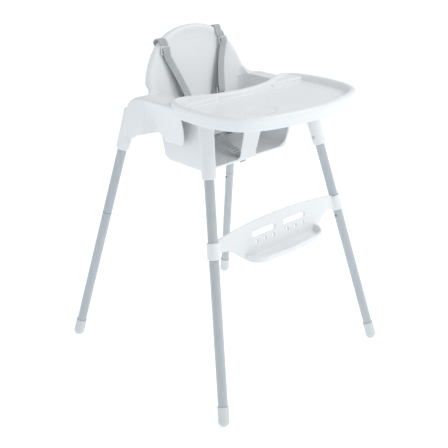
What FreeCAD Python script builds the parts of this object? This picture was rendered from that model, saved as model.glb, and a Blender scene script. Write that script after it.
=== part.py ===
import FreeCAD, Part
import math
import os

os.makedirs("parts", exist_ok=True)
V = FreeCAD.Vector

# High chair: a one-piece plastic seat on four splayed two-section tube legs.
# +Z up, the child faces -Y, +X is the child's left; the origin is on the floor between the feet.
# Driving dimensions, mm.
foot_x, foot_y = 307.0, 314.0          # where each leg's axis meets the floor
socket_bottom = 589.0                  # height of the mouth of each leg socket
front_socket = (209.0, -160.0)         # leg axis at that height, front
rear_socket = (209.5, 181.0)           # leg axis at that height, rear
tube_r = 12.5
tube_wall = 1.2
joint_height = 400.0                   # where the lower leg section ends
button_height = 385.0
leg_top = 690.0
wall = 4.0                             # plastic wall of the seat
rear_y = 152.0                         # back of the armrests

pan_z = 575.0                          # seat surface
armrest_z = 752.0                      # top of the armrest behind the tray
rail_z = 740.6                         # top of the armrest under the tray
armrest_x = 222.0                      # outer edge of the armrest
rail_x = 214.0                         # outer edge of the tray rail
step_y = -65.0                         # where the armrest drops to the rail
rail_front = -146.0                    # front end of the tray rail
bucket_x_low, bucket_x_high = 156.0, 172.0
bucket_rear_low, bucket_rear_high = 78.0, 112.0
corner_low_r, corner_high_r = 34.0, 50.0    # plan corners at the back of the bucket

back_tilt = 11.0                       # recline of the backrest, degrees
back_pivot = V(0, 101, 722)            # a point of the backrest's front face
flange = 18.0                          # depth of the rim behind the backrest
bow = 10.0                             # hollow of the backrest between its sides
front_tilt = 13.0                      # the front frame leans forward by this, degrees
front_pivot = V(0, -104, 650)

tray_low, tray_high = 732.0, 762.0
tray_floor = 745.0                     # inner floor of the tray
webbing = 22.0
lap_slot_x, lap_slot_z = 80.0, 592.0   # lap strap slots in the rear wall
webbing_t = 1.6
fit_gap = 0.2


def box(x0, x1, y0, y1, z0, z1):
    return Part.makeBox(x1 - x0, y1 - y0, z1 - z0, V(x0, y0, z0))


def prism(points, direction):
    """Closed polygon, or one with (mid, end) arc pairs, pushed along a vector."""
    edges = []
    start = points[0]
    for item in points[1:] + [points[0]]:
        if isinstance(item, tuple):
            mid, end = item
            edges.append(Part.Arc(start, mid, end).toShape())
            start = end
        elif start.distanceToPoint(item) > 1e-6:
            edges.append(Part.LineSegment(start, item).toShape())
            start = item
    return Part.Face(Part.Wire(edges)).extrude(direction)


def tilted(shape, angle, pivot):
    """Lean a shape about the X axis through a pivot; a positive angle leans its top back."""
    shape = shape.copy()
    shape.rotate(pivot, V(1, 0, 0), -angle)
    return shape


def both_sides(shape):
    return shape.fuse(shape.mirror(V(0, 0, 0), V(1, 0, 0)))


def fused(shapes):
    return shapes[0].multiFuse(shapes[1:]).removeSplitter()


# ---- legs: each is built along +Z of its own frame, then placed ----
def leg_frame(side, socket):
    """Placement of a leg: origin at the floor, Z up the tube, X towards the chair's middle."""
    sx, sy = socket
    floor = V(side * foot_x, math.copysign(foot_y, sy), 0)
    along = (V(side * sx, sy, socket_bottom) - floor).normalize()
    inward = V(-side, 0, 0)
    inward = (inward - along * inward.dot(along)).normalize()
    across = along.cross(inward)
    matrix = FreeCAD.Matrix(inward.x, across.x, along.x, floor.x,
                            inward.y, across.y, along.y, floor.y,
                            inward.z, across.z, along.z, floor.z,
                            0, 0, 0, 1)
    return FreeCAD.Placement(matrix), along.z


legs = {}
for end_name, socket in (("front", front_socket), ("rear", rear_socket)):
    for side_name, side in (("left", 1), ("right", -1)):
        legs[end_name + "_" + side_name] = leg_frame(side, socket)


def placed(shape, place):
    shape = shape.copy()
    shape.Placement = place.multiply(shape.Placement)
    return shape


def tube(radius, bore, low, high):
    outer = Part.makeCylinder(radius, high - low, V(0, 0, low))
    return outer.cut(Part.makeCylinder(bore, high - low, V(0, 0, low)))


spigot_r = tube_r - tube_wall - fit_gap          # swaged end that slides into the lower section
spigot_length = 62.0
button_r = 3.0
leaf_x = 8.6                                     # spring leaf, from the tube's axis
leaf_t = 0.6
screw_r = 2.0
screw_above = 24.0                               # screw's distance up the socket


def button_hole(height):
    return Part.makeCylinder(button_r + fit_gap, 2 * tube_r, V(0, 0, height), V(1, 0, 0))


def screw_hole(height, radius):
    return Part.makeCylinder(radius, 3 * tube_r, V(0, 0, height), V(1, 0, 0))


def leg_upper(rise):
    joint = joint_height / rise
    top = leg_top / rise
    main = tube(tube_r, tube_r - tube_wall, joint + 3, top)
    neck = Part.makeCone(spigot_r, tube_r, 3, V(0, 0, joint))
    neck = neck.cut(Part.makeCone(spigot_r - tube_wall, tube_r - tube_wall, 3, V(0, 0, joint)))
    spigot = tube(spigot_r, spigot_r - tube_wall, joint - spigot_length, joint)
    shape = fused([main, neck, spigot])
    shape = shape.cut(button_hole(button_height / rise))
    return shape.cut(screw_hole(socket_bottom / rise + screw_above, screw_r + 0.1))


def leg_lower(rise):
    shape = tube(tube_r, tube_r - tube_wall, 16.2, joint_height / rise - 0.3)
    return shape.cut(button_hole(button_height / rise))


foot_r = 14.5
foot_centre = 12.0


def leg_foot():
    """Cap with a domed end over the tube and a plug inside it."""
    cap = Part.makeCylinder(foot_r, 38, V(0, 0, foot_centre))
    dome = Part.makeSphere(foot_r, V(0, 0, foot_centre))
    sleeve = tube(tube_r + 0.1, tube_r - tube_wall - 0.1, 16, 60)
    plug = Part.makeCylinder(tube_r - tube_wall - 0.1, 50, V(0, 0, 16))
    return cap.fuse(dome).cut(sleeve).fuse(plug).removeSplitter()


def snap_button(rise):
    height = button_height / rise
    pin = Part.makeCylinder(button_r, 8.6, V(4.8, 0, height), V(1, 0, 0))
    tip = Part.makeSphere(button_r, V(13.4, 0, height))
    head = Part.makeCylinder(4.4, 1.0, V(leaf_x - 1.2, 0, height), V(1, 0, 0))
    return fused([pin, tip, head])


def snap_spring(rise):
    """Bent leaf: two flat legs joined by a round bend below the button."""
    height = button_height / rise
    outer_r = leaf_x + leaf_t
    bend_z = height - 32
    bend = Part.makeCylinder(outer_r, 6, V(0, -3, bend_z), V(0, 1, 0))
    bend = bend.cut(Part.makeCylinder(leaf_x, 6, V(0, -3, bend_z), V(0, 1, 0)))
    bend = bend.cut(box(-20, 20, -4, 4, bend_z, bend_z + 20))
    front = box(leaf_x, outer_r, -3, 3, bend_z, height - button_r - 0.3)
    back = box(-outer_r, -leaf_x, -3, 3, bend_z, height + 10)
    return fused([bend, front, back])


def socket_screw(rise, barrel_r):
    """Pan-head screw from the inner side of the socket into the tube."""
    height = socket_bottom / rise + screw_above
    shank = Part.makeCylinder(screw_r, barrel_r - 9.0, V(9.0, 0, height), V(1, 0, 0))
    head = Part.makeCylinder(4.0, 2.4, V(barrel_r, 0, height), V(1, 0, 0))
    return shank.fuse(head).removeSplitter()


barrel_low_r, barrel_high_r = 18.0, 20.0


def barrel(rise, top):
    low = socket_bottom / rise
    high = top / rise
    return Part.makeCone(barrel_low_r, barrel_high_r, high - low, V(0, 0, low))


def barrel_bore(rise):
    low = socket_bottom / rise - 30
    bore = Part.makeCylinder(tube_r + 0.1, leg_top / rise + 0.3 - low, V(0, 0, low))
    return bore.fuse(screw_hole(socket_bottom / rise + screw_above, screw_r + 0.1))


def screw_flat(rise):
    """Spot face that lets the screw's head sit on the round socket."""
    height = socket_bottom / rise + screw_above
    return Part.makeCylinder(4.6, 12, V(barrel_low_r - 0.2, 0, height), V(1, 0, 0))


# ---- seat ----
def plan_wire(half, front, rear, z, radius, front_radius=10.0):
    """Plan section of the bucket: straight front and sides, round corners behind."""
    s = math.sqrt(0.5)
    def arc(cx, cy, r, sx, sy, start, end):
        return Part.Arc(V(*start, z), V(cx + sx * r * s, cy + sy * r * s, z), V(*end, z)).toShape()
    fr = front_radius
    p = [(-half + fr, front), (half - fr, front), (half, front + fr), (half, rear - radius),
         (half - radius, rear), (-half + radius, rear), (-half, rear - radius), (-half, front + fr)]
    def line(a, b):
        return Part.LineSegment(V(*a, z), V(*b, z)).toShape()
    edges = [line(p[0], p[1]),
             arc(half - fr, front + fr, fr, 1, -1, p[1], p[2]),
             line(p[2], p[3]),
             arc(half - radius, rear - radius, radius, 1, 1, p[3], p[4]),
             line(p[4], p[5]),
             arc(-half + radius, rear - radius, radius, -1, 1, p[5], p[6]),
             line(p[6], p[7]),
             arc(-half + fr, front + fr, fr, -1, -1, p[7], p[0])]
    return Part.Wire(edges)


def front_y(z):
    """Front face of the bucket at a height."""
    return front_pivot.y - (z - front_pivot.z) * math.tan(math.radians(front_tilt))


def bucket():
    low, high = pan_z - wall, armrest_z
    outer = Part.makeLoft([plan_wire(bucket_x_low, front_y(low), bucket_rear_low, low, corner_low_r),
                           plan_wire(bucket_x_high, front_y(high), bucket_rear_high, high, corner_high_r)],
                          True, True)
    slope_x = (bucket_x_high - bucket_x_low) / (high - low)
    slope_y = (bucket_rear_high - bucket_rear_low) / (high - low)
    slope_r = (corner_high_r - corner_low_r) / (high - low)
    lift = 2 * wall
    def inner_wire(z):
        rise = z - low
        return plan_wire(bucket_x_low - wall + slope_x * rise, front_y(z) + wall,
                         bucket_rear_low - wall + slope_y * rise, z,
                         corner_low_r - wall + slope_r * rise, 6.0)
    inner = Part.makeLoft([inner_wire(pan_z), inner_wire(high + lift)], True, True)
    return outer.cut(inner), inner


def leg_hole(side):
    """One leg opening in the front frame, with round corners."""
    x0, x1, x2 = 28.0, 34.0, 146.0
    z0, z1 = 580.0, 702.0
    r = 26.0
    k = r * (1 - math.sqrt(0.5))
    def at(x, z):
        return V(side * x, -160, z)
    points = [at(x0 + 8, z0),
              at(x2 - r, z0), (at(x2 - k, z0 + k), at(x2, z0 + r)),
              at(x2, z1 - r), (at(x2 - k, z1 - k), at(x2 - r, z1)),
              at(x1 + 12, z1), at(x1, z1 - 12), at(x0, z0 + 8)]
    return prism(points, V(0, 100, 0))


def front_frame():
    """Rim around the leg openings, with the lip below them and the crotch post between."""
    half, top, low = 164.0, rail_z, 557.0
    r = 34.0
    k = r * (1 - math.sqrt(0.5))
    def at(x, z):
        return V(x, front_pivot.y - 3, z)
    notch_x, notch_z = 20.0, 16.0
    points = [at(-half, top),
              at(half, top), at(half, low + r), (at(half - k, low + k), at(half - r, low)),
              at(notch_x, low), (at(0, low + notch_z), at(-notch_x, low)),
              at(-half + r, low), (at(-half + k, low + k), at(-half, low + r))]
    plate = prism(points, V(0, 13, 0))
    return tilted(plate, -front_tilt, front_pivot)


def side_panels():
    """Left armrest top with the panels that hang from it."""
    inner_x = bucket_x_high - wall
    top = prism([V(inner_x, step_y, armrest_z - wall), V(armrest_x, step_y, armrest_z - wall),
                 V(armrest_x, 100, armrest_z - wall),
                 (V(armrest_x - 12, 142, armrest_z - wall), V(180, rear_y, armrest_z - wall)),
                 V(120, rear_y, armrest_z - wall), V(120, 110, armrest_z - wall),
                 V(inner_x, 70, armrest_z - wall)], V(0, 0, wall))
    rail = box(inner_x, rail_x, rail_front, step_y + wall, rail_z - wall, rail_z)
    step = prism([V(armrest_x - 14, step_y, armrest_z), V(armrest_x, step_y, armrest_z),
                  V(172, step_y, 612), V(167, step_y, 612)], V(0, wall, 0))
    lean_top, lean_low = V(armrest_x, step_y, armrest_z), V(164.5, step_y, 590)
    skin = prism([lean_top, lean_low, lean_low - V(wall, 0, 0), lean_top - V(wall, 0, 0)], V(0, 134, 0))
    wing = prism([V(0, 66, armrest_z - 2), V(0, 96, armrest_z - 2), V(0, 128, 734), V(0, 141, 718),
                  V(0, 152, 697), V(0, 165, 668), V(0, 176, 640), V(0, 190, 600), V(0, 140, 600),
                  V(0, 66, 600)], V(wall, 0, 0))
    wing = wing.translated(V(armrest_x - wall - 3, 0, 0))
    rear = box(120, 188, rear_y - wall, rear_y, 655, armrest_z)
    arch = prism([V(150, 152, 560), V(150, 160, 597), V(150, 130, 620),
                  (V(150, 88, 648), V(150, 30, 658)), V(150, 4, 650), V(150, 2, 640),
                  V(150, 46, 600), V(150, 58, 560)], V(90, 0, 0))
    return fused([top, rail, step, skin.fuse(wing).cut(arch), rear])


def front_web():
    """Plate that ties the front socket to the bucket's front corner."""
    points = [V(150, -150, 739), V(188, -150, 739), V(203, -150, 600), V(196, -150, 632),
              V(182, -150, 655), V(163, -150, 668), V(150, -150, 672)]
    block = prism(points, V(0, wall, 0))
    return tilted(block.translated(V(0, 150 - 126, 0)), -front_tilt, V(0, -126, 735))


def backrest():
    """Shallow pan: a curved panel with a rim turned back all round."""
    def outline(inset):
        pts = [(176, 700), (174, 762), (161.5, 800), (143, 840), (103, 880), (0, 906)]
        p = []
        for x, z in pts:
            shrink = 1 - inset / 150.0
            rise = (z - 700) / math.cos(math.radians(back_tilt))
            p.append(V(x * shrink, 0, 700 + rise * (1 - inset / 206.0)))
        left = [V(-q.x, 0, q.z) for q in p]
        edges = [Part.LineSegment(left[0], p[0]).toShape(),
                 Part.LineSegment(p[0], p[1]).toShape(),
                 Part.Arc(p[1], p[2], p[3]).toShape(),
                 Part.Arc(p[3], V(p[4].x + 20, 0, p[4].z - 19), p[4]).toShape(),
                 Part.Arc(p[4], p[5], left[4]).toShape(),
                 Part.Arc(left[4], V(left[4].x - 20, 0, left[4].z - 19), left[3]).toShape(),
                 Part.Arc(left[3], left[2], left[1]).toShape(),
                 Part.LineSegment(left[1], left[0]).toShape()]
        return Part.Face(Part.Wire(edges))
    hollow_r = (160.0 ** 2 + bow ** 2) / (2 * bow)
    block = outline(0).extrude(V(0, flange + 8, 0))
    inside = outline(wall).extrude(V(0, flange + 20, 0))
    scoop = Part.makeCylinder(hollow_r, 260, V(0, -hollow_r + bow, 680))
    deep = Part.makeCylinder(hollow_r + wall, 260, V(0, -hollow_r + bow, 680))
    shell = block.cut(scoop).cut(inside.cut(deep))
    y = back_pivot.y - bow
    return tilted(shell.translated(V(0, y, 0)), back_tilt, V(0, y, back_pivot.z))


def seat_shell():
    basin, cavity = bucket()
    pieces = [basin, front_frame().cut(cavity)]
    for half in (side_panels(), front_web()):
        pieces.append(half)
        pieces.append(half.mirror(V(0, 0, 0), V(1, 0, 0)))
    for name, (place, rise) in legs.items():
        top = rail_z - 1 if name.startswith("front") else armrest_z - 1
        pieces.append(placed(barrel(rise, top), place))
    pieces.append(backrest())
    body = fused(pieces)
    for name, (place, rise) in legs.items():
        body = body.cut(placed(barrel_bore(rise), place))
        body = body.cut(placed(screw_flat(rise), place))
    for s in (1, -1):
        body = body.cut(tilted(leg_hole(s), -front_tilt, front_pivot))
    body = body.cut(strap_slots())
    return body.cut(box(-armrest_x, armrest_x, -200, step_y, rail_z, armrest_z + 20))


def strap_slots():
    crotch = box(-13, 13, -72, -66, pan_z - 10, pan_z + 2)
    lap = box(lap_slot_x - 13, lap_slot_x + 13, 70, 110, lap_slot_z - 2.5, lap_slot_z + 2.5)
    return crotch.fuse(both_sides(lap))


# ---- tray ----
def tray_face(z):
    """Plan of the tray: bowed front, full sides, wings that reach back along the armrests."""
    outer = [(0, -76), (96, -62), (168, -28), (208, -25), (229, -58), (243, -130), (228, -241),
             (196, -281), (151, -300)]
    left = [V(x, y, z) for x, y in outer]
    right = [V(-p.x, p.y, z) for p in left]
    edges = [Part.Arc(left[0], left[1], left[2]).toShape(),
             Part.Arc(left[2], left[3], left[4]).toShape(),
             Part.Arc(left[4], left[5], left[6]).toShape(),
             Part.Arc(left[6], left[7], left[8]).toShape(),
             Part.Arc(left[8], V(0, -325, z), right[8]).toShape(),
             Part.Arc(right[8], right[7], right[6]).toShape(),
             Part.Arc(right[6], right[5], right[4]).toShape(),
             Part.Arc(right[4], right[3], right[2]).toShape(),
             Part.Arc(right[2], right[1], right[0]).toShape()]
    return Part.Face(Part.Wire(edges))


tray_rim = 11.0
cup_x, cup_y, cup_r = -77.0, -208.0, 37.0
runner_in, runner_mid, runner_out = 209.5, 216.5, 221.0     # hooked runner under the tray, in X
runner_front, runner_rear, runner_low = -236.0, -74.0, 729.0


def tray():
    face = tray_face(tray_low)
    lift = V(0, 0, tray_high - tray_low)
    body = face.extrude(lift)
    well = tray_face(tray_floor).makeOffset2D(-tray_rim).extrude(lift)
    well = well.common(box(-300, 300, -400, step_y - 7, 700, 800))
    hollow = tray_face(tray_low - 1).makeOffset2D(-wall).extrude(V(0, 0, tray_floor - wall - tray_low + 1))
    slide_way = box(-217, 217, rail_front - 6, 0, tray_low - 1, tray_floor - wall)
    rests = both_sides(box(150, 260, step_y - 1, 0, tray_low - 1, armrest_z + 0.8))
    body = body.cut(well).cut(hollow).cut(slide_way).cut(rests)
    cup = Part.makeCylinder(cup_r, 20, V(cup_x, cup_y, tray_floor - 2.2))
    body = body.cut(cup)
    under = tray_floor - wall
    parts = [body]
    web = box(runner_mid, runner_out, runner_front, runner_rear, runner_low, under)
    lip = box(runner_in, runner_mid, runner_front, runner_rear, runner_low, runner_low + wall)
    parts.append(both_sides(fused([web, lip])))
    return fused(parts)


# ---- footrest ----
collar_low, collar_high, collar_r = 400.5, 442.0, 16.5
bar_tilt = math.degrees(math.atan2(foot_y + front_socket[1], socket_bottom))
shelf_z = 380.0


def front_leg_y(z):
    return -foot_y + (foot_y + front_socket[1]) * z / socket_bottom


def foot_bar():
    """Plate between the front legs, deepest in the middle, with two long slots."""
    y = front_leg_y(430) - 3
    def at(x, z):
        return V(x, y, z)
    points = [at(-236, 443), (at(0, 461), at(236, 443)), at(240, 411), at(208, 411),
              (at(176, 404), at(150, 386)), at(134, 366), at(-134, 366), at(-150, 386),
              (at(-176, 404), at(-208, 411)), at(-240, 411)]
    bar = prism(points, V(0, 6, 0))
    for side in (1, -1):
        slot = box(24, 94, y - 20, y + 20, 416, 431)
        ends = [Part.makeCylinder(7.5, 40, V(x, y - 20, 423.5), V(0, 1, 0)) for x in (24, 94)]
        slot = fused([slot] + ends)
        bar = bar.cut(slot if side > 0 else slot.mirror(V(0, 0, 0), V(1, 0, 0)))
        for x in (27.5, 59, 90):
            bar = bar.cut(Part.makeCylinder(3.2, 40, V(side * x, y - 20, 401), V(0, 1, 0)))
    return tilted(bar, bar_tilt, V(0, front_leg_y(430), 430))


def shelf_face(z, inset):
    half, front, back = 137.0 - inset, -264.0 + inset, -206.0 + inset * 0.4
    side = V(half, -232, z)
    corner = V(half - 8, front + 17, z)
    near = V(half - 32, front + 5, z)
    def flip(p):
        return V(-p.x, p.y, p.z)
    edges = [Part.LineSegment(V(-half, back, z), V(half, back, z)).toShape(),
             Part.LineSegment(V(half, back, z), side).toShape(),
             Part.Arc(side, corner, near).toShape(),
             Part.Arc(near, V(0, front, z), flip(near)).toShape(),
             Part.Arc(flip(near), flip(corner), flip(side)).toShape(),
             Part.LineSegment(flip(side), V(-half, back, z)).toShape()]
    return Part.Face(Part.Wire(edges))


def foot_shelf():
    """Scooped step in front of the bar."""
    block = shelf_face(shelf_z - 14, 0).extrude(V(0, 0, 24))
    scoop = shelf_face(shelf_z - 10, 6).extrude(V(0, 0, 40))
    lift = prism([V(-150, -262, shelf_z), V(-150, -206, 398), V(-150, -200, 420), V(-150, -300, 420),
                  V(-150, -300, shelf_z)], V(300, 0, 0))
    return block.cut(scoop).cut(lift)


def footrest():
    pieces = [foot_bar(), foot_shelf()]
    for name in ("front_left", "front_right"):
        place, rise = legs[name]
        length = (collar_high - collar_low) / rise
        pieces.append(placed(Part.makeCylinder(collar_r, length, V(0, 0, collar_low / rise)), place))
    body = fused(pieces)
    for name in ("front_left", "front_right"):
        place, rise = legs[name]
        bore = Part.makeCylinder(tube_r + fit_gap, 140, V(0, 0, collar_low / rise - 40))
        body = body.cut(placed(bore, place))
    return body


# ---- harness ----
def ribbon(points, across, thickness=webbing_t, width=webbing):
    """Flat strap through a list of points; across is the direction of its width."""
    across = V(across).normalize()
    runs = []
    for i, (a, b) in enumerate(zip(points, points[1:])):
        along = (b - a).normalize()
        flat = (across - along * across.dot(along)).normalize()
        normal = along.cross(flat)
        start = a - along * (thickness / 2 if i else 0)
        end = b + along * (thickness / 2 if i < len(points) - 2 else 0)
        corners = [start + flat * (u * width / 2) + normal * (v * thickness / 2)
                   for u, v in ((-1, -1), (1, -1), (1, 1), (-1, 1))]
        runs.append(prism(corners, end - start))
    return fused(runs) if len(runs) > 1 else runs[0]


def loop_slider(centre, along, across, size=(30.0, 22.0), thickness=2.4):
    """Rectangular ring with a middle bar, lying over a strap."""
    along = V(along).normalize()
    across = V(across)
    across = (across - along * across.dot(along)).normalize()
    normal = along.cross(across)
    matrix = FreeCAD.Matrix(across.x, along.x, normal.x, centre.x,
                            across.y, along.y, normal.y, centre.y,
                            across.z, along.z, normal.z, centre.z,
                            0, 0, 0, 1)
    w, h = size
    ring = Part.makeBox(w, h, thickness, V(-w / 2, -h / 2, 0))
    for y0, y1 in ((-h / 2 + 2.6, -1.6), (1.6, h / 2 - 2.6)):
        ring = ring.cut(Part.makeBox(w - 5.6, y1 - y0, thickness * 3, V(-w / 2 + 2.8, y0, -thickness)))
    ring.Placement = FreeCAD.Placement(matrix)
    return ring


def on_back(x, depth, up):
    """Point on the backrest: depth behind its foremost edge, up before it is reclined."""
    y0 = back_pivot.y - bow
    point = V(x, y0 + depth, up)
    tilt = math.radians(back_tilt)
    dy, dz = point.y - y0, point.z - back_pivot.z
    return V(x, y0 + dy * math.cos(tilt) + dz * math.sin(tilt),
             back_pivot.z - dy * math.sin(tilt) + dz * math.cos(tilt))


buckle_place = FreeCAD.Placement(V(0, 46, 628), FreeCAD.Rotation(V(1, 0, 0), 35))


def in_buckle(x, y, z):
    return buckle_place.multVec(V(x, y, z))


behind, over, proud = flange + 10.5, 894.0, 3.4     # strap's distances from the backrest and its rim
slider_x, slider_up = 104.0, 850.0


def shoulder_strap():
    """Up the back of the backrest, over its rim and down to the buckle tongue."""
    return ribbon([on_back(96, behind, 800), on_back(96, behind, over), on_back(96, proud, over),
                   on_back(slider_x, proud, slider_up), on_back(56, 5.0, 722),
                   in_buckle(34, 17.6, 0)], V(1, 0, 0))


def shoulder_slider():
    top, low = on_back(96, proud, over), on_back(slider_x, proud, slider_up)
    along = (top - low).normalize()
    front = V(0, -1, 0)
    centre = low + along * 4 + front * (webbing_t / 2 + 3.2)
    return loop_slider(centre, along, V(1, 0, 0))


def lap_strap():
    return ribbon([V(lap_slot_x, 100, lap_slot_z), V(lap_slot_x, 70, lap_slot_z), in_buckle(42, 0, 0)],
                  V(1, 0, 0))


crotch_path = [V(0, -69, pan_z - 10), V(0, -69, pan_z + 4), V(0, -52, pan_z + 6.5), in_buckle(0, -24.5, 0)]


def crotch_strap():
    return ribbon(crotch_path, V(1, 0, 0))


def crotch_slider():
    low, high = crotch_path[2], crotch_path[3]
    along = (high - low).normalize()
    return loop_slider(low + along * 16 + V(0, 0, 1.4), along, V(1, 0, 0))


def buckle_body():
    shell = box(-22, 22, -20, 20, -6, 6)
    shell = shell.makeFillet(5, [e for e in shell.Edges if abs(e.tangentAt(e.FirstParameter).z) > 0.9])
    shell = shell.cut(both_sides(box(14, 23, -7, 9, -1.6, 1.6)))
    shell = shell.cut(Part.makeCylinder(9.3, 6, V(0, 0, 0.2)))
    return shell.cut(box(-11.5, 11.5, -21, -16, -1.2, 1.2))


def buckle_button():
    return Part.makeCylinder(9.0, 4.5, V(0, 0, 3.0))


def buckle_tongue():
    """Flat tongue with an eye for the lap strap and one for the shoulder strap."""
    stub = box(14.3, 23, -6.7, 8.7, -1.3, 1.3)
    plate = box(22.6, 40, -12, 15.6, -1.3, 1.3)
    plate = plate.cut(box(35, 37.4, -9, 9, -2, 2)).cut(box(26, 33, 10.6, 13, -2, 2))
    return fused([stub, plate])


nodes = {}
nodes["seat_shell"] = seat_shell()
for name, (place, rise) in legs.items():
    nodes["leg_upper_" + name] = placed(leg_upper(rise), place)
    nodes["leg_lower_" + name] = placed(leg_lower(rise), place)
    foot = placed(leg_foot(), place)
    nodes["leg_foot_" + name] = foot.cut(box(-400, 400, -400, 400, -40, 0))
    nodes["snap_button_" + name] = placed(snap_button(rise), place)
    nodes["snap_spring_" + name] = placed(snap_spring(rise), place)
    nodes["socket_screw_" + name] = placed(socket_screw(rise, barrel_low_r - 0.2), place)
nodes["footrest"] = footrest()
nodes["tray"] = tray()
nodes["strap_shoulder_left"] = shoulder_strap()
nodes["slider_shoulder_left"] = shoulder_slider()
nodes["strap_lap_left"] = lap_strap()
nodes["buckle_tongue_left"] = placed(buckle_tongue(), buckle_place)
for name in ("strap_shoulder", "slider_shoulder", "strap_lap", "buckle_tongue"):
    nodes[name + "_right"] = nodes[name + "_left"].mirror(V(0, 0, 0), V(1, 0, 0))
nodes["strap_crotch"] = crotch_strap()
nodes["slider_crotch"] = crotch_slider()
nodes["buckle_body"] = placed(buckle_body(), buckle_place)
nodes["buckle_button"] = placed(buckle_button(), buckle_place)

for name, shape in nodes.items():
    if len(shape.Solids) != 1 or not shape.isValid():
        print("look at", name, len(shape.Solids), shape.isValid())
    shape.exportStep("parts/" + name + ".step")
print(len(nodes), "nodes written")
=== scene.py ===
import bpy
import bmesh
import math
from mathutils import Matrix, Vector


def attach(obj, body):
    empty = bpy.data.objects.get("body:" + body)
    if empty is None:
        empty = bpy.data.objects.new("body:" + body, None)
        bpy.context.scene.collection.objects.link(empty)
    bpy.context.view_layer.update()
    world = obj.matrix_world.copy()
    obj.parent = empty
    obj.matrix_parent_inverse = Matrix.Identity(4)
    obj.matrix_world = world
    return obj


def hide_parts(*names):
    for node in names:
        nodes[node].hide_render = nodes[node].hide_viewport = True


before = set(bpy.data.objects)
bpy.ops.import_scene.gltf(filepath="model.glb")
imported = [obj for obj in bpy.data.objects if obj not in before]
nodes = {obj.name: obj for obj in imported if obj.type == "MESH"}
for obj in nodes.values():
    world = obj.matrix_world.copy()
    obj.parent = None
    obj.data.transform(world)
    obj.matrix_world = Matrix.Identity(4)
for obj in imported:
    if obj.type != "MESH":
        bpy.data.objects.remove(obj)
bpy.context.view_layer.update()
scene = bpy.context.scene
print("frame loaded:", len(nodes), "nodes")

mm = 0.001
across, upward = Vector((1, 0, 0)), Vector((0, 0, 1))


# camera: a low three-quarter view from the chair's right front
cameraSettings = {
    "place": (-1.4816, -1.5167, 1.2752),
    "turn": (math.pi / 2 - 0.3986, 0.0, -0.7692),
    "lens": 65.60,
    "shift": (0.0063, -0.0161),
}
cameraData = bpy.data.cameras.new("camera")
cameraData.sensor_width = 36
cameraData.lens = cameraSettings["lens"]
cameraData.shift_x, cameraData.shift_y = cameraSettings["shift"]
camera = bpy.data.objects.new("camera", cameraData)
camera.location = cameraSettings["place"]
camera.rotation_euler = cameraSettings["turn"]
scene.collection.objects.link(camera)
scene.camera = camera


# small tools for meshes

def smoothstep(low, high, value):
    t = min(1.0, max(0.0, (value - low) / (high - low)))
    return t * t * (3 - 2 * t)


def along(stops, value):
    # stops are (place, amount) pairs in order; goes evenly from one amount to the next
    if value <= stops[0][0]:
        return stops[0][1]
    for (a, x), (b, y) in zip(stops, stops[1:]):
        if value <= b:
            return x + (y - x) * (value - a) / (b - a)
    return stops[-1][1]


def finishPiece(bm, name, smooth=True):
    mesh = bpy.data.meshes.new(name)
    for face in bm.faces:
        face.smooth = smooth
    bm.to_mesh(mesh)
    bm.free()
    piece = bpy.data.objects.new(name, mesh)
    scene.collection.objects.link(piece)
    return piece


def modified(piece):
    # the mesh of a piece with its modifiers applied, in place of its old one
    graph = bpy.context.evaluated_depsgraph_get()
    mesh = bpy.data.meshes.new_from_object(piece.evaluated_get(graph))
    old = piece.data
    piece.modifiers.clear()
    piece.data = mesh
    bpy.data.meshes.remove(old)
    return piece


def outlineFace(bm, corners):
    # a flat face from (point, corner radius) pairs, its corners rounded by a vertex bevel
    verts = [bm.verts.new(Vector(p) * mm) for p, _ in corners]
    bm.faces.new(verts)
    for vert, (_, radius) in zip(verts, corners):
        if radius:
            bmesh.ops.bevel(bm, geom=[vert], offset=radius * mm, offset_type="OFFSET", segments=7,
                            profile=0.5, affect="VERTICES", material=-1)
    return list(bm.faces)


def plate(name, corners, push, rounding=0.0, segments=3):
    # the outline pushed into a plate, with its rim rounded
    bm = bmesh.new()
    faces = outlineFace(bm, corners)
    moved = bmesh.ops.extrude_face_region(bm, geom=faces)["geom"]
    bmesh.ops.translate(bm, vec=Vector(push) * mm, verts=[g for g in moved if isinstance(g, bmesh.types.BMVert)])
    bmesh.ops.recalc_face_normals(bm, faces=bm.faces)
    if rounding:
        rim = [e for e in bm.edges if e.calc_face_angle(0) > 0.9]
        bmesh.ops.bevel(bm, geom=rim, offset=rounding * mm, offset_type="OFFSET", segments=segments,
                        profile=0.5, affect="EDGES", clamp_overlap=True, material=-1)
    return finishPiece(bm, name)


def block(name, low, high, rounding=0.0, segments=3):
    bm = bmesh.new()
    low, high = Vector(low) * mm, Vector(high) * mm
    bmesh.ops.create_cube(bm, size=1)
    bmesh.ops.scale(bm, vec=high - low, verts=bm.verts)
    bmesh.ops.translate(bm, vec=(low + high) / 2, verts=bm.verts)
    if rounding:
        bmesh.ops.bevel(bm, geom=bm.edges[:], offset=rounding * mm, offset_type="OFFSET", segments=segments,
                        profile=0.5, affect="EDGES", clamp_overlap=True, material=-1)
    return finishPiece(bm, name)


def roundBar(name, radiusLow, radiusHigh, low, high, place=Matrix.Identity(4), segments=48, rounding=0.0):
    # a cylinder or cone from low to high along its own Z, then placed
    bm = bmesh.new()
    bmesh.ops.create_cone(bm, cap_ends=True, segments=segments, radius1=radiusLow * mm, radius2=radiusHigh * mm,
                          depth=(high - low) * mm)
    bmesh.ops.translate(bm, vec=upward * (low + high) / 2 * mm, verts=bm.verts)
    if rounding:
        rims = [e for e in bm.edges if e.calc_face_angle(0) > 1.2]
        bmesh.ops.bevel(bm, geom=rims, offset=rounding * mm, offset_type="OFFSET", segments=4,
                        profile=0.5, affect="EDGES", material=-1)
    bmesh.ops.transform(bm, matrix=place, verts=bm.verts)
    return finishPiece(bm, name)


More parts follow.
